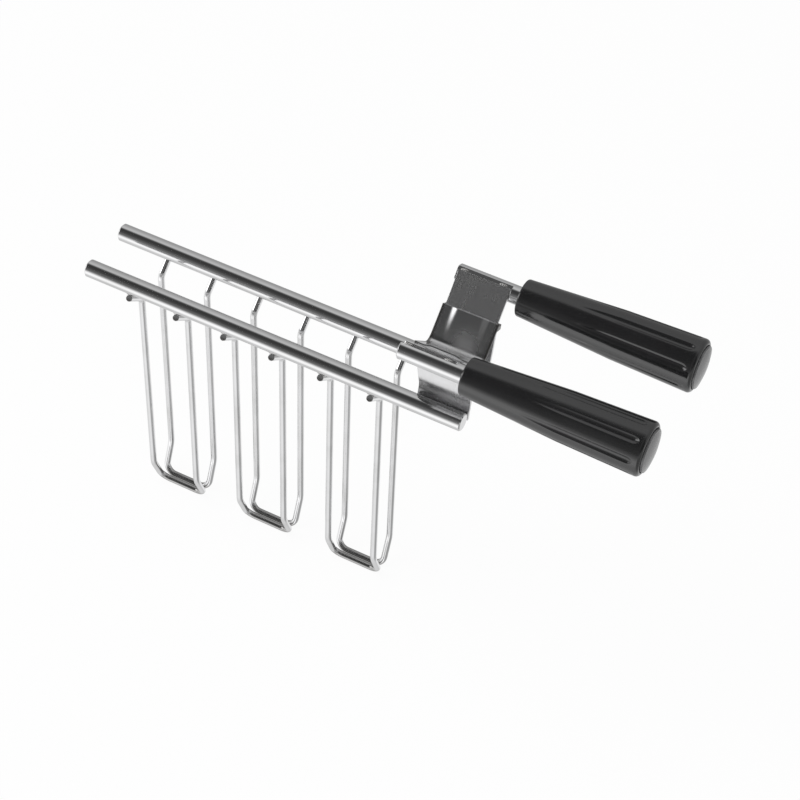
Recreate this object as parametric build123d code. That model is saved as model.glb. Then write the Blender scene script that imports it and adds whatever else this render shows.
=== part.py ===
from build123d import *
from math import cos, hypot, radians, sin, sqrt, tan
import os

# Sprung toast tongs in millimetres. X runs along the bars to the handles, the mid-plane between
# the two mirror-image halves is Y = 0, and Z is up. The bars' undersides lie in the plane Z = 0.
# Every piece is drawn for the far half, on the +Y side, and mirrored for the near half.

# Bars
bar_diameter = 8.0
bar_length = 183.0
bar_spacing = 26.4  # axis to axis
bar_end_chamfer = 0.5

# Wire loops
wire_diameter = 3.0
loop_count = 3
leg_pitch = 23.7  # between neighbouring legs, within a loop and from loop to loop
first_leg_inset = 23.0  # from the free end of the bar
leg_spacing = 15.8  # between the near and far legs, axis to axis
loop_depth = 136.5  # from the bar's axis down to the axis of the bottom run
taper_depth = 15.5  # from where the legs turn in down to the bottom run
bottom_gap = 0.5  # between the bottom runs of the two halves, at rest
top_run_slope = 40.0  # degrees below level, where the wire passes under the bar
wire_end_stub = 0.6  # past the weld
top_bend_radius = 4.0
lower_bend_radius = 14.0
loop_corner_radius = 5.0
weld_gap = 0.05  # between curved faces that are welded

# Bent plates
sheet_thickness = 1.2
plate_width = 23.8
plate_overhang = 0.2  # past the end of the bar
ridge_offset = 13.0  # from the mid-plane to the inner face at the ridge
ridge_height = 34.6  # from the bar's axis up to the inner face at the ridge
tab_slope = 46.2  # degrees above level
tab_margin = 1.6  # from the middle of the rod's flat to the tab's top edge
knee_height = 6.3  # from the bar's axis up to the knee in the lower part
foot_flare = 11.0  # degrees off upright, outwards below the knee
foot_depth = 2.5  # below the bar's axis
ridge_bend_radius = 1.6
knee_bend_radius = 8.0
plate_corner_radius = 0.8

# Leaf spring
spring_thickness = 0.8
spring_slope = 43.0  # degrees below level, for each leg of the V
spring_bend_radius = 3.0
spring_seat_gap = 0.1  # from the plates
ear_side_gap = 0.2  # from the edges of the plates
ear_drop = 0.7  # from the ridge down to the top of the lip
ear_length = 2.6
ear_lip_reach = 2.4  # how far the lip folds in behind the plate

# Handle rods
rod_diameter = 8.0
rod_flat_depth = 1.3  # taken off the rod where it lies against the tab
rod_flat_overrun = 0.3  # of the flat, past the right edge of the plate
rod_reach = 13.65  # from the ridge to the middle of the flat, along the tab
rod_overhang = 1.0  # past the left edge of the plate
rod_free_length = 29.5  # from the rod's bare end to the grip
stud_diameter = 6.0
stud_projection = 1.0  # past the nut

# Grips
grip_length = 78.5
grip_neck_diameter = 16.0
grip_waist_distance = 43.0  # from the neck to where the taper eases
grip_waist_diameter = 21.0
grip_end_diameter = 22.9
grip_waist_blend = 160.0
grip_neck_fillet = 0.8
grip_end_fillet = 1.8
flute_count = 8
flute_width = 3.4
flute_depth = 0.85  # at the flute's rounded end
flute_start_distance = 22.0  # from the neck to where the flutes begin
flute_end_margin = 2.9  # from the flute's rounded end to the end of the grip
flute_phase = 12.0  # degrees from +Y, on the far grip
stud_clearance = 0.05  # on the radius

# Fixings in the grip's end
washer_play = 1.0  # on the radius, in the recess
washer_thickness = 1.2
nut_across_flats = 10.0
nut_thickness = 5.0
recess_diameter = 14.5
recess_depth = 11.0  # from the cap's seat
rim_width = 1.9  # of the grip's end, outside the groove
cap_groove = 0.4  # ring between the cap and the rim
cap_seat_depth = 1.0
cap_rim_height = 0.8  # straight side above the seat
cap_dome = 1.3
spigot_clearance = 0.05  # on the radius
spigot_length = 3.0

# Places that follow from the sizes above
bar_radius = bar_diameter / 2
wire_radius = wire_diameter / 2
rod_radius = rod_diameter / 2
stud_radius = stud_diameter / 2
bar_axis_z = bar_radius
bar_y = bar_spacing / 2
bar_start_x = -bar_length / 2
leg_y = leg_spacing / 2
bottom_y = (wire_diameter + bottom_gap) / 2
bottom_z = bar_axis_z - loop_depth
plate_end_x = bar_length / 2 + plate_overhang
plate_start_x = plate_end_x - plate_width
ridge_y = ridge_offset
ridge_z = bar_axis_z + ridge_height
foot_inset = (bar_radius + weld_gap + sheet_thickness) / cos(radians(foot_flare))
knee_y = bar_y - foot_inset - knee_height * tan(radians(foot_flare))
knee_z = bar_axis_z + knee_height
foot_y = bar_y - foot_inset + foot_depth * tan(radians(foot_flare))
foot_z = bar_axis_z - foot_depth
tab_along = (cos(radians(tab_slope)), sin(radians(tab_slope)))
tab_out = (sin(radians(tab_slope)), -cos(radians(tab_slope)))
tab_in = (-tab_out[0], -tab_out[1])
sheet_run = hypot(ridge_y - knee_y, ridge_z - knee_z)
sheet_along = ((knee_y - ridge_y) / sheet_run, (knee_z - ridge_z) / sheet_run)
sheet_out = (-sheet_along[1], sheet_along[0])
spring_start_x = plate_start_x - ear_side_gap - spring_thickness
spring_width = plate_width + 2 * (ear_side_gap + spring_thickness)
rod_lift = sheet_thickness + weld_gap + rod_radius - rod_flat_depth
rod_y = ridge_y + rod_reach * tab_along[0] + rod_lift * tab_out[0]
rod_z = ridge_z + rod_reach * tab_along[1] + rod_lift * tab_out[1]
tab_length = rod_reach + tab_margin
rod_start_x = plate_start_x - rod_overhang
grip_start_x = rod_start_x + rod_free_length
grip_end_x = grip_start_x + grip_length
seat_radius = grip_end_diameter / 2 - rim_width
cap_radius = seat_radius - cap_groove
cap_seat_x = grip_end_x - cap_seat_depth
recess_floor_x = cap_seat_x - recess_depth
nut_start_x = recess_floor_x + washer_thickness
rod_end_x = nut_start_x + nut_thickness + stud_projection


def cross_plane(x, y=0, z=0):
    """The plane square to X at a point, with its local X along +Y and its local Y along +Z."""
    return Plane(origin=(x, y, z), x_dir=(0, 1, 0), z_dir=(1, 0, 0))


def rod_plane(x):
    """The plane square to the far handle rod at x, centred on its axis."""
    return cross_plane(x, rod_y, rod_z)


def make_bar():
    """A plain round bar with lightly broken end edges."""
    bar = extrude(cross_plane(bar_start_x, bar_y, bar_axis_z) * Circle(bar_radius), amount=bar_length)
    return chamfer(bar.edges().filter_by(GeomType.CIRCLE), bar_end_chamfer)


def leg_side_points(x):
    """The axis of one leg at x, from its cut end beside the bar to the bottom corner."""
    slope = radians(top_run_slope)
    reach = bar_radius + weld_gap + wire_radius
    weld_y = bar_y + reach * sin(slope)
    weld_z = bar_axis_z - reach * cos(slope)
    top_bend_z = weld_z - (weld_y - leg_y) * tan(slope)
    end_y = weld_y + wire_end_stub * cos(slope)
    end_z = weld_z + wire_end_stub * sin(slope)
    return [
        (x, end_y, end_z),
        (x, leg_y, top_bend_z),
        (x, leg_y, bottom_z + taper_depth),
        (x, bottom_y, bottom_z),
    ]


def make_wire_loop(number):
    """One U-shaped wire: two legs side by side under the bar and the bottom run between them."""
    first_x = bar_start_x + first_leg_inset + 2 * number * leg_pitch
    down = leg_side_points(first_x)
    up = list(reversed(leg_side_points(first_x + leg_pitch)))
    side_radii = [top_bend_radius, lower_bend_radius, loop_corner_radius]
    path = FilletPolyline(*down, *up, radius=side_radii + list(reversed(side_radii)))
    section = Plane(origin=path @ 0, z_dir=path % 0) * Circle(wire_radius)
    return sweep(section, path=path)


def trace_sheet(line, thickness, side):
    """A bent sheet's section, with the given line as one face and the other face on the given side."""
    return make_face(line.offset_2d(thickness, side=side).edges())


def make_plate():
    """The bent sheet: a tab for the handle rod, the ridge, and the lower part with its foot on the bar."""
    tab_tip = (ridge_y + tab_length * tab_along[0], ridge_z + tab_length * tab_along[1])
    corners = [tab_tip, (ridge_y, ridge_z), (knee_y, knee_z), (foot_y, foot_z)]
    inner_face = FilletPolyline(*corners, radius=[ridge_bend_radius, knee_bend_radius])
    section = trace_sheet(inner_face, sheet_thickness, Side.LEFT)
    plate = extrude(cross_plane(plate_start_x) * section, amount=plate_width)
    tip_face = plate.faces().sort_by(Axis.Z)[-1]
    return fillet(tip_face.edges().sort_by(SortBy.LENGTH)[:2], plate_corner_radius)


def make_grip_blank():
    """The grip's outer shape: a taper that eases at the waist, with softened ends."""
    profile = FilletPolyline(
        (0, grip_neck_diameter / 2),
        (grip_waist_distance, grip_waist_diameter / 2),
        (grip_length, grip_end_diameter / 2),
        radius=grip_waist_blend,
    )
    side = profile.edges() + [
        Line((grip_length, grip_end_diameter / 2), (grip_length, 0)),
        Line((grip_length, 0), (0, 0)),
        Line((0, 0), (0, grip_neck_diameter / 2)),
    ]
    blank = revolve(make_face(side), axis=Axis.X)
    blank = Pos(grip_start_x, rod_y, rod_z) * blank
    neck_edge = blank.edges().filter_by(GeomType.CIRCLE).sort_by(Axis.X)[0]
    blank = fillet(neck_edge, grip_neck_fillet)
    end_edge = blank.edges().filter_by(GeomType.CIRCLE).sort_by(Axis.X)[-1]
    return fillet(end_edge, grip_end_fillet)


def make_flute_cutter(angle):
    """A round-nosed cutter that meets the grip's neck taper at a slant, so each flute fades in from there."""
    cutter_radius = ((flute_width / 2) ** 2 + flute_depth**2) / (2 * flute_depth)
    neck_taper = (grip_waist_diameter - grip_neck_diameter) / 2 / grip_waist_distance
    end_taper = (grip_end_diameter - grip_waist_diameter) / 2 / (grip_length - grip_waist_distance)
    nose_distance = grip_length - flute_end_margin - flute_width / 2
    nose_bottom = grip_end_diameter / 2 - end_taper * (grip_length - nose_distance) - flute_depth
    start_bottom = grip_neck_diameter / 2 + neck_taper * flute_start_distance
    rise = (nose_bottom - start_bottom) / (nose_distance - flute_start_distance)
    nose_radius = nose_bottom + cutter_radius
    start_radius = nose_radius - rise * nose_distance
    turn = radians(angle)
    nose = (grip_start_x + nose_distance, rod_y + nose_radius * cos(turn), rod_z + nose_radius * sin(turn))
    start = (grip_start_x, rod_y + start_radius * cos(turn), rod_z + start_radius * sin(turn))
    direction = Vector(*nose) - Vector(*start)
    shank = extrude(Plane(origin=start, z_dir=direction) * Circle(cutter_radius), amount=direction.length)
    return shank + Pos(*nose) * Sphere(cutter_radius)


def make_grip():
    """The moulded grip, with its flutes, the hole for the stud, the nut's recess and the cap's seat."""
    grip = make_grip_blank()
    for number in range(flute_count):
        grip -= make_flute_cutter(flute_phase + number * 360 / flute_count)
    grip -= extrude(rod_plane(grip_start_x) * Circle(stud_radius + stud_clearance), amount=grip_length)
    grip -= extrude(rod_plane(recess_floor_x) * Circle(recess_diameter / 2), amount=grip_length)
    grip -= extrude(rod_plane(cap_seat_x) * Circle(seat_radius), amount=grip_length)
    return grip


def make_handle_rod():
    """The round rod, with a flat against the tab, turned down to a stud where it runs through the grip."""
    bare = extrude(rod_plane(rod_start_x) * Circle(rod_radius), amount=rod_free_length)
    bare = chamfer(bare.edges().filter_by(GeomType.CIRCLE).sort_by(Axis.X)[0], bar_end_chamfer)
    flat_lift = rod_radius - rod_flat_depth
    flat_start = (rod_start_x, rod_y + flat_lift * tab_in[0], rod_z + flat_lift * tab_in[1])
    flat_plane = Plane(origin=flat_start, x_dir=(1, 0, 0), z_dir=(0, *tab_in))
    flat_length = rod_overhang + plate_width + rod_flat_overrun
    flat = Rectangle(flat_length, rod_diameter, align=(Align.MIN, Align.CENTER))
    bare -= extrude(flat_plane * flat, amount=rod_flat_depth)
    stud = extrude(rod_plane(grip_start_x) * Circle(stud_radius), amount=rod_end_x - grip_start_x)
    return bare + stud


def make_grip_washer():
    """The flat washer on the floor of the recess."""
    ring = Circle(recess_diameter / 2 - washer_play) - Circle(stud_radius + stud_clearance)
    return extrude(rod_plane(recess_floor_x) * ring, amount=washer_thickness)


def make_grip_nut():
    """The hexagon nut on the stud."""
    hexagon = RegularPolygon(nut_across_flats / 2, 6, major_radius=False)
    section = hexagon - Circle(stud_radius + stud_clearance)
    return extrude(rod_plane(nut_start_x) * section, amount=nut_thickness)


def make_end_cap():
    """The domed cap on its seat, with a spigot in the recess."""
    rim_x = cap_seat_depth + cap_rim_height
    top_x = rim_x + cap_dome
    dome_radius = (cap_radius**2 + cap_dome**2) / (2 * cap_dome)
    middle_x = top_x - dome_radius + sqrt(dome_radius**2 - (cap_radius / 2) ** 2)
    side = [
        Line((0, 0), (0, cap_radius)),
        Line((0, cap_radius), (rim_x, cap_radius)),
        ThreePointArc((rim_x, cap_radius), (middle_x, cap_radius / 2), (top_x, 0)),
        Line((top_x, 0), (0, 0)),
    ]
    disc = Pos(cap_seat_x, rod_y, rod_z) * revolve(make_face(side), axis=Axis.X)
    spigot_radius = recess_diameter / 2 - spigot_clearance
    spigot = extrude(rod_plane(cap_seat_x - spigot_length) * Circle(spigot_radius), amount=spigot_length)
    return disc + spigot


def spring_tip():
    """The lower corner of a leg of the V, where it rests against the ridge."""
    return (ridge_y + spring_seat_gap * tab_in[0], ridge_z + spring_seat_gap * tab_in[1])


def make_spring_ear():
    """The hook at the leg's start corner: a wall past the plate's edge and a lip behind the plate."""
    slope = radians(spring_slope)
    tip_y, tip_z = spring_tip()
    root_length = ear_drop + ear_length
    face_y = tip_y - spring_thickness * sin(slope)
    face_z = tip_z + spring_thickness * cos(slope)

    def behind_plate(drop, depth):
        y = ridge_y + drop * sheet_along[0] + depth * sheet_out[0]
        z = ridge_z + drop * sheet_along[1] + depth * sheet_out[1]
        return (y, z)

    lip_depth = sheet_thickness + spring_seat_gap
    ear_depth = lip_depth + spring_thickness
    lip_outline = [
        behind_plate(ear_drop, lip_depth),
        behind_plate(root_length, lip_depth),
        behind_plate(root_length, ear_depth),
        behind_plate(ear_drop, ear_depth),
    ]
    wall_outline = [
        (face_y, face_z),
        (face_y - root_length * cos(slope), face_z - root_length * sin(slope)),
        behind_plate(root_length, ear_depth),
        behind_plate(ear_drop, ear_depth),
    ]
    side_plane = cross_plane(spring_start_x)
    wall = extrude(side_plane * Polygon(*wall_outline, align=None), amount=spring_thickness)
    lip_width = spring_thickness + ear_side_gap + ear_lip_reach
    return wall + extrude(side_plane * Polygon(*lip_outline, align=None), amount=lip_width)


def make_leaf_spring():
    """The V-shaped strip between the plates, with a hook at each of its four corners."""
    tip_y, tip_z = spring_tip()
    point_z = tip_z - tip_y * tan(radians(spring_slope))
    lower_face = FilletPolyline((tip_y, tip_z), (0, point_z), (-tip_y, tip_z), radius=spring_bend_radius)
    section = trace_sheet(lower_face, spring_thickness, Side.RIGHT)
    spring = extrude(cross_plane(spring_start_x) * section, amount=spring_width)
    ear = make_spring_ear()
    for hook in (ear, mirror(ear, about=cross_plane(spring_start_x + spring_width / 2))):
        spring += hook
        spring += mirror(hook, about=Plane.XZ)
    return spring


def write_half(side, place):
    """Write every piece of one half."""
    pieces = {
        "bar": make_bar(),
        "plate": make_plate(),
        "handle_rod": make_handle_rod(),
        "grip": make_grip(),
        "grip_washer": make_grip_washer(),
        "grip_nut": make_grip_nut(),
        "end_cap": make_end_cap(),
    }
    for number in range(loop_count):
        pieces[f"wire_loop_{number + 1}"] = make_wire_loop(number)
    for name, piece in pieces.items():
        export_step(place(piece), f"parts/{side}_{name}.step")


def main():
    os.makedirs("parts", exist_ok=True)
    write_half("far", lambda piece: piece)
    write_half("near", lambda piece: mirror(piece, about=Plane.XZ))
    export_step(make_leaf_spring(), "parts/leaf_spring.step")


main()
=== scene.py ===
from math import cos, pi, radians, sin, sqrt

import bmesh
import bpy
from mathutils import Euler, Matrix, Vector, noise as wobble


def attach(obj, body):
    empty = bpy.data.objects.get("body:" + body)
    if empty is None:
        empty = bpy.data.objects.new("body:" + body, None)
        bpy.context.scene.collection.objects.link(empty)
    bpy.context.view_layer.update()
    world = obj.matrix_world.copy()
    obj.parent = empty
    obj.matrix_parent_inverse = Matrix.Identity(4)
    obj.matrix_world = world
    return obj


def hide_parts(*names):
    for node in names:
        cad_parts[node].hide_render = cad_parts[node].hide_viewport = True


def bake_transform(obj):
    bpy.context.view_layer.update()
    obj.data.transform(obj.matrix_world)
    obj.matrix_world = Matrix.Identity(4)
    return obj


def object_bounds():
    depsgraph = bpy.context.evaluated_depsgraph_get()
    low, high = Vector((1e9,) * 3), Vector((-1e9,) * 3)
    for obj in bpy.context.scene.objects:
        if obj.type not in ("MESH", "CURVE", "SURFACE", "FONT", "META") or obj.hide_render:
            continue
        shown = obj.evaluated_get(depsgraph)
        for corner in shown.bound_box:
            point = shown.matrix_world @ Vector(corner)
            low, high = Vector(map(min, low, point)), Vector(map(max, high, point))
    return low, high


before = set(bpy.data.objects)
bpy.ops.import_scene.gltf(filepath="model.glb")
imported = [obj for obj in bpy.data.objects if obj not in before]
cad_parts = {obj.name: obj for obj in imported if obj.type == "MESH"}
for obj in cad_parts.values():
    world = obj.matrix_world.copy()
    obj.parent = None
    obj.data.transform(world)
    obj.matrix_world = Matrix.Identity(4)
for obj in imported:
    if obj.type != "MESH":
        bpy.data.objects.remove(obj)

cad_low, cad_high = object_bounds()

MM = 0.001


# Camera, floor and light

def make_camera():
    data = bpy.data.cameras.new("camera")
    data.lens = 98.06
    data.sensor_width = 36
    camera = bpy.data.objects.new("camera", data)
    camera.location = (0.330663, -0.565775, 0.666383)
    camera.rotation_euler = Euler((radians(42.7184), radians(-1.9594), radians(28.0396)))
    bpy.context.scene.collection.objects.link(camera)
    bpy.context.scene.camera = camera


FLOOR_GLOW = 0.95  # share of plain white in what the camera sees of the floor


def make_floor():
    """A white floor that the camera sees as nearly pure white, with only a faint shadow left on it."""
    half = 6.0
    mesh = bpy.data.meshes.new("floor")
    z = cad_low.z
    corners = [(-half, -half, z), (half, -half, z), (half, half, z), (-half, half, z)]
    mesh.from_pydata(corners, [], [(0, 1, 2, 3)])
    floor = bpy.data.objects.new("floor", mesh)
    bpy.context.scene.collection.objects.link(floor)
    floor.visible_glossy = False
    material = bpy.data.materials.new("floor")
    material.use_nodes = True
    tree = material.node_tree
    tree.nodes.clear()
    output = tree.nodes.new("ShaderNodeOutputMaterial")
    diffuse = tree.nodes.new("ShaderNodeBsdfDiffuse")
    diffuse.inputs["Color"].default_value = (0.85, 0.85, 0.85, 1)
    glow = tree.nodes.new("ShaderNodeEmission")
    glow.inputs["Color"].default_value = (1, 1, 1, 1)
    path = tree.nodes.new("ShaderNodeLightPath")
    share = tree.nodes.new("ShaderNodeMath")
    share.operation = "MULTIPLY"
    share.inputs[1].default_value = FLOOR_GLOW
    mix = tree.nodes.new("ShaderNodeMixShader")
    tree.links.new(path.outputs["Is Camera Ray"], share.inputs[0])
    tree.links.new(share.outputs[0], mix.inputs["Fac"])
    tree.links.new(diffuse.outputs[0], mix.inputs[1])
    tree.links.new(glow.outputs[0], mix.inputs[2])
    tree.links.new(mix.outputs[0], output.inputs["Surface"])
    mesh.materials.append(material)


def sky_ramp(tree, place, stops):
    """Brightness by the angle round the X axis: 0 is level towards +Y, 90 is up, 180 is level towards -Y."""
    ramp = tree.nodes.new("ShaderNodeValToRGB")
    tree.links.new(place, ramp.inputs["Fac"])
    while len(ramp.color_ramp.elements) < len(stops):
        ramp.color_ramp.elements.new(0.5)
    for element, (angle, level) in zip(ramp.color_ramp.elements, stops):
        element.position = (angle + 180) / 360
        element.color = (level, level, level, 1)
    return ramp.outputs["Color"]


def make_world():
    """A studio round the object: white table below, pale wall behind, dark room on the near side."""
    world = bpy.data.worlds.new("studio")
    world.use_nodes = True
    world.cycles.sampling_method = "NONE"
    bpy.context.scene.world = world
    tree = world.node_tree
    tree.nodes.clear()
    output = tree.nodes.new("ShaderNodeOutputWorld")
    coordinates = tree.nodes.new("ShaderNodeTexCoord")
    split = tree.nodes.new("ShaderNodeSeparateXYZ")
    tree.links.new(coordinates.outputs["Generated"], split.inputs[0])
    turn = tree.nodes.new("ShaderNodeMath")
    turn.operation = "ARCTAN2"
    tree.links.new(split.outputs["Z"], turn.inputs[0])
    tree.links.new(split.outputs["Y"], turn.inputs[1])
    place = tree.nodes.new("ShaderNodeMapRange")
    place.inputs["From Min"].default_value = -pi
    place.inputs["From Max"].default_value = pi
    tree.links.new(turn.outputs[0], place.inputs["Value"])
    table_and_wall = [
        (-180, 0.60), (-172, 0.90), (-164, 1.22), (-148, 1.22), (-136, 0.92), (-125, 0.80), (-114, 0.70),
        (-100, 0.72), (-86, 0.66), (-70, 0.62), (-58, 0.85), (-46, 0.85), (-34, 0.42), (0, 0.36), (24, 0.42),
        (41, 0.50), (59, 0.58), (74, 0.60),
    ]
    middle = sky_ramp(tree, place.outputs[0], table_and_wall + [
        (85, 0.20), (93, 0.065), (107, 0.042), (120, 0.055), (132, 0.066), (138, 0.082), (144, 0.115),
        (155, 0.145), (167, 0.20), (180, 0.60),
    ])
    overhead = sky_ramp(tree, place.outputs[0], table_and_wall + [
        (85, 0.34), (100, 0.17), (150, 0.15), (167, 0.22), (180, 0.60),
    ])
    right = sky_ramp(tree, place.outputs[0], [
        (-180, 0.55), (-162, 0.42), (-130, 0.38), (-80, 0.36), (-66, 0.42), (-55, 0.80), (-44, 0.80),
        (-30, 0.50), (0, 0.42), (60, 0.50), (80, 0.30), (100, 0.06), (140, 0.05), (160, 0.12), (180, 0.55),
    ])
    left = sky_ramp(tree, place.outputs[0], [
        (-180, 0.82), (-165, 0.88), (-46, 0.88), (-30, 0.50), (60, 0.36), (85, 0.20), (106, 0.30), (120, 2.3),
        (150, 2.3), (164, 0.50), (180, 0.82),
    ])
    level = middle  # for a direction's X of about -0.5 to -0.1, and the others on either side of that
    for side, start, end in ((overhead, -0.12, 0.08), (right, 0.38, 0.58), (left, -0.52, -0.76)):
        weight = tree.nodes.new("ShaderNodeMapRange")
        weight.interpolation_type = "SMOOTHSTEP"
        weight.inputs["From Min"].default_value = start
        weight.inputs["From Max"].default_value = end
        tree.links.new(split.outputs["X"], weight.inputs["Value"])
        mixed = tree.nodes.new("ShaderNodeMix")
        mixed.data_type = "RGBA"
        tree.links.new(weight.outputs[0], mixed.inputs[0])
        tree.links.new(level, mixed.inputs[6])
        tree.links.new(side, mixed.inputs[7])
        level = mixed.outputs[2]
    seen = tree.nodes.new("ShaderNodeBackground")
    lit = tree.nodes.new("ShaderNodeBackground")
    seen.inputs["Color"].default_value = (1, 1, 1, 1)
    tree.links.new(level, lit.inputs["Color"])
    path = tree.nodes.new("ShaderNodeLightPath")
    mix = tree.nodes.new("ShaderNodeMixShader")
    tree.links.new(path.outputs["Is Camera Ray"], mix.inputs["Fac"])
    tree.links.new(lit.outputs[0], mix.inputs[1])
    tree.links.new(seen.outputs[0], mix.inputs[2])
    tree.links.new(mix.outputs[0], output.inputs["Surface"])


def make_lamp(name, place, aim, size, power):
    data = bpy.data.lights.new(name, "AREA")
    data.shape = "DISK"
    data.size = size
    data.energy = power
    lamp = bpy.data.objects.new(name, data)
    lamp.location = place
    lamp.rotation_euler = (Vector(aim) - Vector(place)).to_track_quat("-Z", "Y").to_euler()
    lamp.visible_glossy = False
    bpy.context.scene.collection.objects.link(lamp)


# Materials

def start_material(name, color, metallic, roughness):
    material = bpy.data.materials.new(name)
    material.use_nodes = True
    shader = material.node_tree.nodes["Principled BSDF"]
    shader.inputs["Base Color"].default_value = (*color, 1)
    shader.inputs["Metallic"].default_value = metallic
    shader.inputs["Roughness"].default_value = roughness
    return material, shader


def object_place(tree, scale):
    coordinates = tree.nodes.new("ShaderNodeTexCoord")
    mapping = tree.nodes.new("ShaderNodeMapping")
    mapping.inputs["Scale"].default_value = scale
    tree.links.new(coordinates.outputs["Object"], mapping.inputs["Vector"])
    return mapping.outputs[0]


def noise(tree, scale, detail=4.0, roughness=0.55):
    texture = tree.nodes.new("ShaderNodeTexNoise")
    texture.inputs["Scale"].default_value = 1.0
    texture.inputs["Detail"].default_value = detail
    texture.inputs["Roughness"].default_value = roughness
    tree.links.new(object_place(tree, scale), texture.inputs["Vector"])
    return texture.outputs["Fac"]


def spread(tree, value, low, high, start=0.3, end=0.7, kind="LINEAR"):
    """Maps a value from between start and end to the range from low to high."""
    place = tree.nodes.new("ShaderNodeMapRange")
    place.interpolation_type = kind
    place.inputs["From Min"].default_value = start
    place.inputs["From Max"].default_value = end
    place.inputs["To Min"].default_value = low
    place.inputs["To Max"].default_value = high
    tree.links.new(value, place.inputs["Value"])
    return place.outputs[0]


def blend_colors(tree, factor, first, second):
    """Mixes two colours, each a plain colour or an output of another node."""
    mix = tree.nodes.new("ShaderNodeMix")
    mix.data_type = "RGBA"
    for socket, color in ((mix.inputs[6], first), (mix.inputs[7], second)):
        if isinstance(color, tuple):
            socket.default_value = (*color, 1)
        else:
            tree.links.new(color, socket)
    tree.links.new(factor, mix.inputs[0])
    return mix.outputs[2]


def bump(tree, height, distance, base):
    """The base normal, tilted by a height."""
    node = tree.nodes.new("ShaderNodeBump")
    node.inputs["Strength"].default_value = 1.0
    node.inputs["Distance"].default_value = distance
    tree.links.new(height, node.inputs["Height"])
    tree.links.new(base, node.inputs["Normal"])
    return node.outputs[0]


def combine(tree, operation, first, second):
    node = tree.nodes.new("ShaderNodeMath")
    node.operation = operation
    tree.links.new(first, node.inputs[0])
    tree.links.new(second, node.inputs[1])
    return node.outputs[0]


def rounded_edges(tree, radius):
    """A normal that rounds sharp edges, and a mask that is 1 along them."""
    rounding = tree.nodes.new("ShaderNodeBevel")
    rounding.samples = 6
    rounding.inputs["Radius"].default_value = radius
    surface = tree.nodes.new("ShaderNodeNewGeometry")
    compare = tree.nodes.new("ShaderNodeVectorMath")
    compare.operation = "DOT_PRODUCT"
    tree.links.new(rounding.outputs[0], compare.inputs[0])
    tree.links.new(surface.outputs["Normal"], compare.inputs[1])
    return rounding.outputs[0], spread(tree, compare.outputs["Value"], 0, 1, 0.97, 0.75)


def object_axis(tree, axis):
    coordinates = tree.nodes.new("ShaderNodeTexCoord")
    split = tree.nodes.new("ShaderNodeSeparateXYZ")
    tree.links.new(coordinates.outputs["Object"], split.inputs[0])
    return split.outputs[axis]


def away_from(tree, value, middle, start, end):
    """0 where a value is nearer than start to the middle, and 1 where it is further than end."""
    distance = tree.nodes.new("ShaderNodeMath")
    distance.operation = "SUBTRACT"
    distance.inputs[1].default_value = middle
    tree.links.new(value, distance.inputs[0])
    size = tree.nodes.new("ShaderNodeMath")
    size.operation = "ABSOLUTE"
    tree.links.new(distance.outputs[0], size.inputs[0])
    return spread(tree, size.outputs[0], 0, 1, start, end)


LINE_COLOR = (0.95, 0.95, 0.95)
RUBBED_EDGE_COLOR = (0.9, 0.9, 0.9)
# the colour of the painted shade at the bottom of the wires
BOTTOM_SHADE_COLOR = (0.45, 0.445, 0.44)
STEEL_EDGE_RADIUS = 0.25 * MM
FLARE_RISE = -0.005  # a height for the bump alone, in metres, as are the next two
FLARE_HEIGHTS = (0.006, 0.033)
FLARE_SIDE = (-0.006, -0.004)  # full on the near side of the first, none past the second


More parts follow.
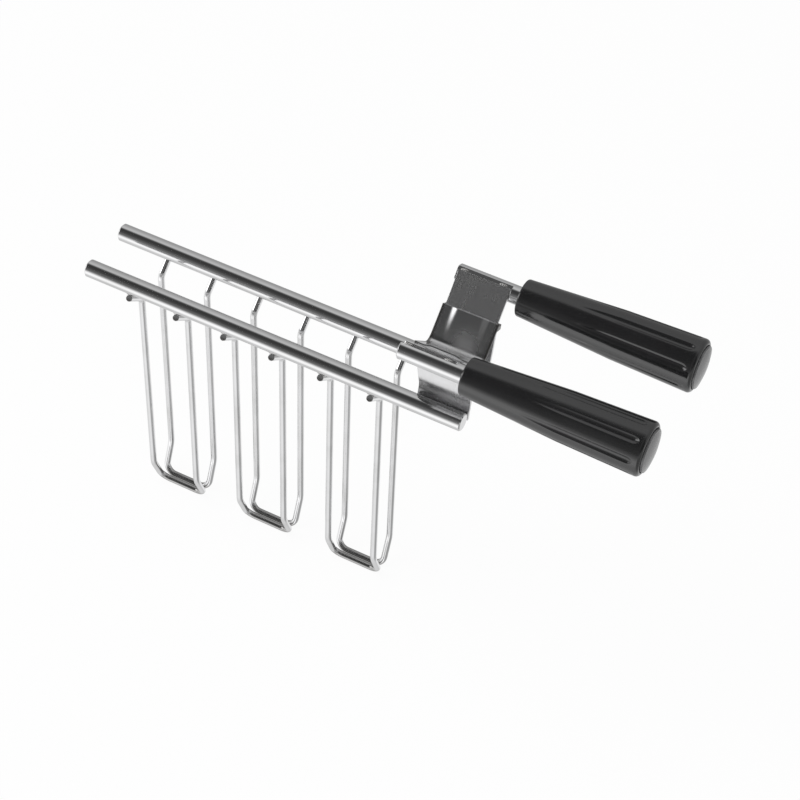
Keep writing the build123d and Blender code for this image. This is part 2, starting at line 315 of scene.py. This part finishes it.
def steel(name, light, dark, smooth, rough, grain, patch=(60, 60, 60), depth=0.0000012,
          heat=None, tarnish_and_shade=None, flare=False, scuff=None):
    """Bright steel with drawing or brushing lines along its grain, soft patches of wear and rubbed edges.

    heat: the heights between which the steel is darkened towards its lowest part, as painted shade.
    tarnish_and_shade: an axis, its middle, the distances from it where the steel starts and ends turning dull
    and darker, and the dull level. The wires are tarnished there; along the leaf spring's long edges it is
    painted shade.
    flare: tilts the shading of the near plate's lower part by up to about 15 degrees. No geometry follows it.
    scuff: the middle X of a rubbed patch, its reach along X, and the heights between which it fades out."""
    material, shader = start_material(name, light, 1.0, smooth)
    tree = material.node_tree
    patches = noise(tree, patch)
    lines = noise(tree, grain, detail=6.0, roughness=0.65)
    specks = noise(tree, (900, 900, 900), detail=2.0)
    normal, edges = rounded_edges(tree, STEEL_EDGE_RADIUS)
    color = blend_colors(tree, spread(tree, patches, 0, 1), light, dark)
    color = blend_colors(tree, spread(tree, lines, 0, 0.12, 0.5, 0.7), color, LINE_COLOR)
    tone = combine(tree, "ADD", spread(tree, patches, smooth, rough), spread(tree, lines, -0.02, 0.02))
    # painted shade: the steel is darkened towards its lowest part, in random patches
    if heat:
        painted_darkness = spread(tree, object_axis(tree, "Z"), 0, 1, *heat)
        painted_shade_mask = combine(tree, "ADD", painted_darkness, spread(tree, patches, -0.15, 0.15))
        painted_shade_mask = spread(tree, painted_shade_mask, 0, 1, 0, 1)
        color = blend_colors(tree, painted_shade_mask, color, BOTTOM_SHADE_COLOR)
        tone = combine(tree, "ADD", tone, spread(tree, painted_shade_mask, 0, 0.06, 0, 1))
    color = blend_colors(tree, spread(tree, edges, 0, 0.5, 0, 1), color, RUBBED_EDGE_COLOR)
    # dull and darker away from a middle: the wires are tarnished there, and the leaf spring gets painted
    # shade along its long edges
    if tarnish_and_shade:
        axis, middle, start, end, level = tarnish_and_shade
        dull = away_from(tree, object_axis(tree, axis), middle, start, end)
        color = blend_colors(tree, dull, color, (level, 0.98 * level, 0.96 * level))
        tone = combine(tree, "ADD", tone, spread(tree, dull, 0, 0.12, 0, 1))
    if scuff:
        middle, start, end, low, high = scuff
        rubbed = combine(
            tree,
            "MULTIPLY",
            spread(tree, away_from(tree, object_axis(tree, "X"), middle, start, end), 1, 0, 0, 1),
            spread(tree, object_axis(tree, "Z"), 1, 0, low, high),
        )
        tone = combine(tree, "ADD", tone, spread(tree, rubbed, 0, 0.22, 0, 1))
    tree.links.new(color, shader.inputs["Base Color"])
    tree.links.new(combine(tree, "ADD", tone, spread(tree, edges, 0, 0.08, 0, 1)), shader.inputs["Roughness"])
    if flare:
        rise = spread(tree, object_axis(tree, "Z"), 0, FLARE_RISE, *FLARE_HEIGHTS, kind="SMOOTHSTEP")
        near_side = spread(tree, object_axis(tree, "Y"), 1, 0, *FLARE_SIDE)
        normal = bump(tree, combine(tree, "MULTIPLY", rise, near_side), 1.0, normal)
    height = combine(tree, "ADD", spread(tree, lines, 0, 1), spread(tree, specks, 0, 0.3))
    tree.links.new(bump(tree, height, depth, normal), shader.inputs["Normal"])
    return material


PLASTIC_EDGE_RADIUS = 0.2 * MM
RUBBED_GAIN = 2.2  # how much paler an edge is than a worn patch


def moulded_plastic(name, color, worn, smooth, rough, depth, shine):
    """A moulded plastic with fine grain, faint handling marks and paler rubbed patches and edges."""
    material, shader = start_material(name, color, 0.0, smooth)
    shader.inputs["Specular IOR Level"].default_value = shine
    tree = material.node_tree
    patches = noise(tree, (45, 90, 90))
    grain = noise(tree, (2600, 2600, 2600), detail=2.0)
    waves = noise(tree, (160, 220, 220), detail=3.0)
    scuffs = noise(tree, (90, 1400, 1400), detail=5.0, roughness=0.7)
    normal, edges = rounded_edges(tree, PLASTIC_EDGE_RADIUS)
    base = blend_colors(tree, spread(tree, patches, 0, 1, 0.45, 0.75), color, worn)
    rubbed = tuple(min(1, RUBBED_GAIN * level) for level in worn)
    base = blend_colors(tree, spread(tree, edges, 0, 0.6, 0, 1), base, rubbed)
    tree.links.new(base, shader.inputs["Base Color"])
    marks = spread(tree, scuffs, -0.01, 0.05, 0.45, 0.75)
    tone = combine(tree, "ADD", spread(tree, patches, smooth, rough), marks)
    tree.links.new(tone, shader.inputs["Roughness"])
    height = combine(tree, "ADD", spread(tree, waves, 0, 1), spread(tree, grain, 0, 0.15))
    tree.links.new(bump(tree, height, depth, normal), shader.inputs["Normal"])
    return material


# Mesh helpers

def make_mesh_object(name, points, faces):
    mesh = bpy.data.meshes.new(name)
    mesh.from_pydata(points, [], faces)
    form = bmesh.new()
    form.from_mesh(mesh)
    bmesh.ops.remove_doubles(form, verts=form.verts, dist=1e-7)
    bmesh.ops.recalc_face_normals(form, faces=form.faces)
    form.to_mesh(mesh)
    form.free()
    mesh.shade_smooth()
    piece = bpy.data.objects.new(name, mesh)
    bpy.context.scene.collection.objects.link(piece)
    return piece


def apply_modifiers(piece):
    """Turns what the modifiers show into the piece's own mesh."""
    shown = piece.evaluated_get(bpy.context.evaluated_depsgraph_get())
    mesh = bpy.data.meshes.new_from_object(shown)
    piece.modifiers.clear()
    piece.data = mesh


def soften_edges(piece, width):
    bevel = piece.modifiers.new("edges", "BEVEL")
    bevel.width = width
    bevel.segments = 3
    bevel.limit_method = "ANGLE"
    bevel.angle_limit = radians(40)
    bevel.harden_normals = True


def ease(value):
    value = min(max(value, 0.0), 1.0)
    return value * value * (3 - 2 * value)


def add_sheet(points, faces, rows):
    """Adds a closed sheet to a mesh. Each row holds (upper, lower) pairs of points across the sheet."""
    start = len(points)
    columns = len(rows[0])
    for row in rows:
        for upper, lower in row:
            points.extend((upper, lower))

    def place(row, column, level):
        return start + 2 * (row * columns + column) + level

    def edge_face(row, column, next_row, next_column):
        first = (place(row, column, 0), place(next_row, next_column, 0))
        return [*first, place(next_row, next_column, 1), place(row, column, 1)]

    last_row = len(rows) - 1
    last_column = columns - 1
    for row in range(last_row):
        for column in range(last_column):
            for level in (0, 1):
                faces.append([place(row + i, column + j, level) for i, j in ((0, 0), (0, 1), (1, 1), (1, 0))])
        for column in (0, last_column):
            faces.append(edge_face(row, column, row + 1, column))
    for column in range(last_column):
        for row in (0, last_row):
            faces.append(edge_face(row, column, row, column + 1))


def turned_mesh(name, rows, turns, closed):
    """A form turned about an axis along X. Each row is a list of (x, y, z), one for each of the turns."""
    points = [point for row in rows for point in row]
    faces = []
    pairs = list(zip(range(len(rows) - 1), range(1, len(rows))))
    if closed:
        pairs.append((len(rows) - 1, 0))
    for row, next_row in pairs:
        low = row * turns
        high = next_row * turns
        for column in range(turns):
            after = (column + 1) % turns
            faces.append([low + column, low + after, high + after, high + column])
    return make_mesh_object(name, points, faces)


# The leaf spring, with the slope, thickness, width and hooks of the solid that it replaces

SPRING_SLOPE = radians(43)
SPRING_THICKNESS = 0.8 * MM
SPRING_EASING = 3.8 * MM  # from the middle of the bend to the straight leg
SPRING_END = Vector((0, 12.655 * MM, 38.962 * MM))  # the middle of the strip's thickness, at the far ridge
SPRING_X = (66.9 * MM, 92.7 * MM)
SPRING_RISE = 0.68 * MM  # how far the strip bows up between its hooks
SPRING_CREASE = (3.8 * MM, 7.8 * MM)  # from the strip's edge to where the bow starts and ends
SPRING_BOW_START = 0.16  # share of the leg, from the bend, that stays without a bow
SPRING_BOW_EXPONENT = 0.6
SPRING_STATIONS = 44  # along each leg, closer together at the bend
SPRING_CROWDING = 1.25
SPRING_COLUMNS = 64
HOOK_DROP = 0.7  # millimetres from the ridge down to the top of the hook
HOOK_LENGTH = 2.6
HOOK_LIP = 2.6 * MM
HOOK_BEHIND = 1.3 * MM  # the plate's thickness and the gap behind it
PLATE_RIDGE = Vector((0, 13.0 * MM, 38.6 * MM))
PLATE_ALONG = Vector((0, -0.2207, -0.97534))  # down the plate's lower sheet, from the ridge to the knee
PLATE_OUT = Vector((0, 0.97534, -0.2207))


def spring_half():
    """The strip's middle line from the bottom of the bend up to the far ridge: its points and slopes."""
    step = 0.02 * MM
    run = y = z = 0.0
    line = []
    while y < SPRING_END.y:
        share = min(run / SPRING_EASING, 1.0)
        slope = SPRING_SLOPE * share * (1.5 - 0.5 * share * share)
        line.append((y, z, slope))
        y += step * cos(slope)
        z += step * sin(slope)
        run += step
    lift = SPRING_END.z - z
    return [(y, z + lift, slope) for y, z, slope in line]


def spring_rows():
    line = spring_half()
    last = len(line) - 1
    steps = range(SPRING_STATIONS + 1)
    picks = sorted({round(last * (step / SPRING_STATIONS) ** SPRING_CROWDING) for step in steps})
    half = [line[pick] + (pick / last,) for pick in picks]
    stations = [(y, z, slope, share) for y, z, slope, share in reversed(half)]
    stations += [(-y, z, -slope, share) for y, z, slope, share in half[1:]]
    left, right = SPRING_X
    start, end = SPRING_CREASE
    rows = []
    for y, z, slope, share in stations:
        normal = Vector((0, -sin(slope), cos(slope)))
        pull = max(0.0, (share - SPRING_BOW_START) / (1 - SPRING_BOW_START)) ** SPRING_BOW_EXPONENT
        row = []
        for column in range(SPRING_COLUMNS + 1):
            x = left + (right - left) * column / SPRING_COLUMNS
            inset = min(x - left, right - x)
            rise = SPRING_RISE * pull * ease((inset - start) / (end - start))
            base = Vector((x, y, z)) + normal * rise
            row.append((base + normal * SPRING_THICKNESS / 2, base - normal * SPRING_THICKNESS / 2))
        rows.append(row)
    return rows


def hook_rows(left_side, far_side):
    """One hook: the strip's corner turns down past the plate's edge, then in behind the lower sheet."""
    thickness = SPRING_THICKNESS
    normal = Vector((0, -sin(SPRING_SLOPE), cos(SPRING_SLOPE)))
    along = Vector((0, cos(SPRING_SLOPE), sin(SPRING_SLOPE)))
    edge = SPRING_X[0] if left_side else SPRING_X[1]
    inward = 1 if left_side else -1
    side = 1 if far_side else -1
    rows = []
    steps = 10
    for step in range(steps + 1):
        drop = (HOOK_DROP + HOOK_LENGTH * step / steps) * MM
        front = SPRING_END - normal * thickness / 2 - along * drop
        behind = PLATE_RIDGE + PLATE_ALONG * drop + PLATE_OUT * (HOOK_BEHIND + thickness)
        outer_x = Vector((edge, 0, 0))
        inner_x = Vector((edge + inward * thickness, 0, 0))
        lip_x = Vector((edge + inward * (thickness + HOOK_LIP), 0, 0))
        back_step = PLATE_OUT * thickness
        row = [
            (outer_x + front, inner_x + front),
            (outer_x + behind, inner_x + behind - back_step),
            (lip_x + behind, lip_x + behind - back_step),
        ]
        rows.append([tuple(Vector((p.x, side * p.y, p.z)) for p in pair) for pair in row])
    return rows


def make_leaf_spring():
    points = []
    faces = []
    add_sheet(points, faces, spring_rows())
    for left_side in (True, False):
        for far_side in (True, False):
            add_sheet(points, faces, hook_rows(left_side, far_side))
    spring = make_mesh_object("leaf_spring_strip", points, faces)
    soften_edges(spring, 0.3 * MM)
    apply_modifiers(spring)
    spring.data.materials.append(spring_steel)
    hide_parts("leaf_spring")
    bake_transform(spring)


# Grips and end caps, with the outer sizes of the solids that they replace.
# Numbers without MM are in millimetres or degrees.

ROD_Y = 25.30 * MM
ROD_Z = 45.72 * MM
GRIP_X = 96.4 * MM
GRIP_LENGTH = 78.5
NECK_RADIUS = 8.0
WAIST_X = 43.0  # from the neck to where the taper eases
WAIST_RADIUS = 10.5
END_RADIUS = 11.45
WAIST_BLEND_START = 40.5
WAIST_BLEND_LENGTH = 5.0
STUD_HOLE_RADIUS = 3.05
RECESS_RADIUS = 7.25
RECESS_FLOOR_X = 66.5
CAP_SEAT_X = 77.5
FLUTED_END_X = 76.4
FLUTES = 8
FLUTE_PHASE = 12.0
FLUTE_RADIUS = 2.125  # of the round-nosed cutter
FLUTE_NOSE = 72.7  # from the neck to where the flute starts to run out
FLUTE_RUN_OUT = 0.6  # how steeply it does, 1 for a round nose
FLUTE_START = 25.0  # from the neck to where the flute's bottom meets the taper
FLUTE_DEPTH = 0.85
FLUTE_PITCH = 45.0
FLUTE_SOFTNESS = 0.12


def grip_radius(x):
    """The grip's outer radius in millimetres, x millimetres from its neck."""
    neck = NECK_RADIUS + (WAIST_RADIUS - NECK_RADIUS) * x / WAIST_X
    end = WAIST_RADIUS + (END_RADIUS - WAIST_RADIUS) * (x - WAIST_X) / (GRIP_LENGTH - WAIST_X)
    blend = ease((x - WAIST_BLEND_START) / WAIST_BLEND_LENGTH)
    return neck * (1 - blend) + end * blend


def grip_profile():
    """(x, radius, fluted) round the half section, from the hole at the neck round to the hole again."""
    profile = [(0, STUD_HOLE_RADIUS, False), (0, 5.0, False), (0, 6.6, False)]
    for angle in (0, 18, 36, 54, 72, 90):
        profile.append((0.8 - 0.8 * cos(radians(angle)), 7.2 + 0.85 * sin(radians(angle)), False))
    steps = [1.6 + 1.9 * i for i in range(12)]
    steps += [24 + 1.0 * i for i in range(44)]
    steps += [68 + 0.35 * i for i in range(25)]
    profile += [(x, grip_radius(x), True) for x in steps if x <= FLUTED_END_X]
    rim = 1.8
    side = grip_radius(GRIP_LENGTH - rim) - rim
    for angle in (0, 15, 30, 45, 60, 75, 90):
        turn = radians(angle)
        profile.append((GRIP_LENGTH - rim + rim * sin(turn), side + rim * cos(turn), False))
    inside = [
        (GRIP_LENGTH, 9.57),
        (GRIP_LENGTH - 0.2, 9.55),
        (CAP_SEAT_X, 9.55),
        (CAP_SEAT_X, 9.3),
        (CAP_SEAT_X, 7.3),
        (CAP_SEAT_X - 0.2, RECESS_RADIUS),
        (RECESS_FLOOR_X, RECESS_RADIUS),
        (RECESS_FLOOR_X, RECESS_RADIUS - 0.25),
        (RECESS_FLOOR_X, STUD_HOLE_RADIUS),
    ]
    return profile + [(x, radius, False) for x, radius in inside]


def flute_depth(x, radius, offset):
    """How far the flute cuts in at x and at an angle from the flute's middle, with softly rounded edges."""
    across = radius * sin(offset)
    height = radius * cos(offset)
    start_bottom = grip_radius(FLUTE_START)
    nose_bottom = grip_radius(FLUTE_NOSE) - FLUTE_DEPTH
    bottom = start_bottom + (nose_bottom - start_bottom) * (x - FLUTE_START) / (FLUTE_NOSE - FLUTE_START)
    past_nose = FLUTE_RUN_OUT * max(0.0, x - FLUTE_NOSE)
    inside = FLUTE_RADIUS**2 - across**2 - past_nose**2
    cut = height - (bottom + FLUTE_RADIUS) + sqrt(inside) if inside > 0 else -1.0
    return 0.5 * (cut + sqrt(cut * cut + FLUTE_SOFTNESS**2)) - 0.5 * (sqrt(1 + FLUTE_SOFTNESS**2) - 1)


def make_grip(side, sign):
    # degrees from the middle of a flute, closest together at the flute's edges
    offsets = [0, 1.6, 3.2, 4.6, 5.8, 6.8, 7.6, 8.3, 9.0, 9.8, 10.8, 12.4, 15, 18.5]
    period = sorted({*offsets, *(-offset for offset in offsets), FLUTE_PITCH / 2})
    middles = [FLUTE_PHASE + FLUTE_PITCH * flute for flute in range(FLUTES)]
    turns = [(middle + offset, offset) for middle in middles for offset in period]
    rows = []
    for x, radius, fluted in grip_profile():
        row = []
        for angle, offset in turns:
            level = radius
            if fluted:
                level -= max(0.0, flute_depth(x, radius, radians(offset)))
            across = level * MM * cos(radians(angle))
            up = level * MM * sin(radians(angle))
            row.append((GRIP_X + x * MM, sign * (ROD_Y + across), ROD_Z + up))
        rows.append(row)
    grip = turned_mesh(f"{side}_grip_moulding", rows, len(turns), closed=True)
    grip.data.materials.append(grip_plastic)
    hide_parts(f"{side}_grip")
    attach(grip, f"{side}_jaw")


def make_cap(side, sign):
    """The end cap: a shallow dome with a softened rim, and its spigot inside the recess."""
    seat = CAP_SEAT_X
    rim = seat + 1.8
    radius = 9.15
    dome = 1.3
    dome_radius = (radius**2 + dome**2) / (2 * dome)
    profile = [(seat - 3.0, 0.0), (seat - 3.0, 3.6), (seat - 3.0, 6.9), (seat - 2.7, 7.2), (seat - 0.3, 7.2)]
    profile += [(seat, 7.4), (seat, 8.9), (seat + 0.15, radius), (rim - 0.25, radius)]
    profile += [(rim - 0.1, radius - 0.03), (rim + 0.03, radius - 0.11), (rim + 0.12, radius - 0.25)]
    for step in range(22):
        level = (radius - 0.45) * (1 - step / 21)
        profile.append((rim + dome - dome_radius + sqrt(dome_radius**2 - level**2), level))
    turns = 120
    rows = []
    for x, level in profile:
        row = []
        for turn in range(turns):
            angle = 2 * pi * turn / turns
            across = level * MM * cos(angle)
            up = level * MM * sin(angle)
            row.append((GRIP_X + x * MM, sign * (ROD_Y + across), ROD_Z + up))
        rows.append(row)
    cap = turned_mesh(f"{side}_cap_moulding", rows, turns, closed=False)
    cap.data.materials.append(cap_plastic)
    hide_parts(f"{side}_end_cap")
    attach(cap, f"{side}_jaw")


# Welds

def add_bead(points, faces, start, end, radius, ripples):
    """Adds one rippled weld bead from start to end, tapering off at both ends."""
    rings = 8 * ripples + 2
    around = 16
    along = (end - start).normalized()
    across = along.cross(Vector((0.3, 0.5, 0.8))).normalized()
    other = along.cross(across)
    first = len(points)
    for ring in range(rings + 1):
        share = ring / rings
        taper = sqrt(max(0.0, 1 - abs(2 * share - 1) ** 3))
        size = radius * (0.02 + taper * (0.92 + 0.08 * cos(2 * pi * ripples * share)))
        middle = start.lerp(end, share)
        for turn in range(around):
            angle = 2 * pi * turn / around
            arm = across * cos(angle) + other * sin(angle)
            rough = 1 + 0.16 * wobble.noise((middle + arm * size) * 900)
            points.append(middle + arm * size * rough)
    for ring in range(rings):
        for turn in range(around):
            after = (turn + 1) % around
            low = first + ring * around
            high = low + around
            faces.append([low + turn, low + after, high + after, high + turn])
    faces.append([first + turn for turn in range(around)])
    faces.append([first + rings * around + turn for turn in range(around)])


LEGS = 6
FIRST_LEG_X = -68.5
LEG_PITCH = 23.7


def make_welds(side, sign):
    """The beads along X that hold the wires, the plate and the rod of one half together, in millimetres."""
    points = []
    faces = []

    def bead(x, length, y, z, radius, ripples):
        start = Vector((x, sign * y, z)) * MM
        end = Vector((x + length, sign * y, z)) * MM
        add_bead(points, faces, start, end, radius * MM, ripples)

    # each leg's end, where it lies against the bar
    for leg in range(LEGS):
        bead(FIRST_LEG_X + LEG_PITCH * leg - 2.2, 4.4, 15.74, 0.9, 0.52, 2)
    # the rod on the tab: at the tab's top edge, and at the lower edge of the rod's flat
    for x in (68.6, 86.2):
        bead(x, 3.4, 24.45, 49.2, 0.72, 4)
        bead(x + 0.6, 3.0, 21.55, 45.35, 0.6, 3)
    # the plate's foot, on the bar
    for x in (69.4, 87.2):
        bead(x, 3.2, 10.0, 1.1, 0.55, 4)
    # the tab's corner by the grip
    bead(91.3, 2.4, 24.3, 48.1, 0.75, 2)
    welds = make_mesh_object(f"{side}_welds", points, faces)
    welds.data.materials.append(weld_steel)
    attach(welds, f"{side}_jaw")


bpy.context.scene.view_settings.view_transform = "Standard"
make_camera()
make_floor()
make_world()
make_lamp("top lamp", (-0.6, -0.3, 1.6), (0, 0, 0), 1.2, 20.0)
make_lamp("side lamp", (1.2, -1.2, 0.8), (0.05, 0, 0), 1.0, 8.0)

bar_steel = steel("bar_steel", (0.80, 0.80, 0.81), (0.74, 0.74, 0.74), 0.07, 0.11, (14, 1500, 1500))
# painted shade darkens the wires' bottom runs
wire_steel = steel(
    "wire_steel", (0.90, 0.90, 0.91), (0.84, 0.84, 0.84), 0.08, 0.13, (900, 900, 30),
    heat=(-0.1290, -0.1308), tarnish_and_shade=("Y", 0, 0.0172, 0.0176, 0.42),
)
sheet_steel = steel(
    "sheet_steel", (0.80, 0.80, 0.81), (0.74, 0.74, 0.74), 0.23, 0.28, (1400, 60, 60), (160, 160, 160),
    flare=True,
)
# painted shade darkens the strip along its two long edges
spring_steel = steel(
    "spring_steel", (0.74, 0.74, 0.75), (0.68, 0.68, 0.68), 0.15, 0.20, (60, 1200, 1200), (140, 140, 140),
    tarnish_and_shade=("X", 0.0798, 0.0113, 0.0121, 0.24), scuff=(0.0825, 0.002, 0.0085, 0.0305, 0.0375),
)
fixing_steel = steel("fixing_steel", (0.60, 0.60, 0.60), (0.45, 0.45, 0.44), 0.25, 0.4, (300, 300, 300))
weld_steel = steel(
    "weld_steel", (0.80, 0.79, 0.78), (0.42, 0.41, 0.40), 0.14, 0.3, (700, 700, 700), (500, 500, 500),
    depth=0.000004,
)
grip_plastic = moulded_plastic(
    "grip_plastic", (0.011, 0.011, 0.0115), (0.015, 0.015, 0.0155), 0.10, 0.14, 0.000004, 1.0,
)
cap_plastic = moulded_plastic(
    "cap_plastic", (0.105, 0.105, 0.108), (0.125, 0.125, 0.127), 0.18, 0.25, 0.000006, 1.0,
)

finishes = {
    "bar": bar_steel,
    "handle_rod": bar_steel,
    "wire_loop": wire_steel,
    "plate": sheet_steel,
    "leaf_spring": spring_steel,
    "grip_washer": fixing_steel,
    "grip_nut": fixing_steel,
    "grip": grip_plastic,
    "end_cap": cap_plastic,
}


def finish_of(node):
    name = node.replace("near_", "").replace("far_", "")
    if name.startswith("wire_loop"):
        name = "wire_loop"
    return finishes[name]


for node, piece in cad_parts.items():
    piece.data.materials.clear()
    piece.data.materials.append(finish_of(node))

make_leaf_spring()
for side, sign in (("near", -1), ("far", 1)):
    make_grip(side, sign)
    make_cap(side, sign)
    make_welds(side, sign)
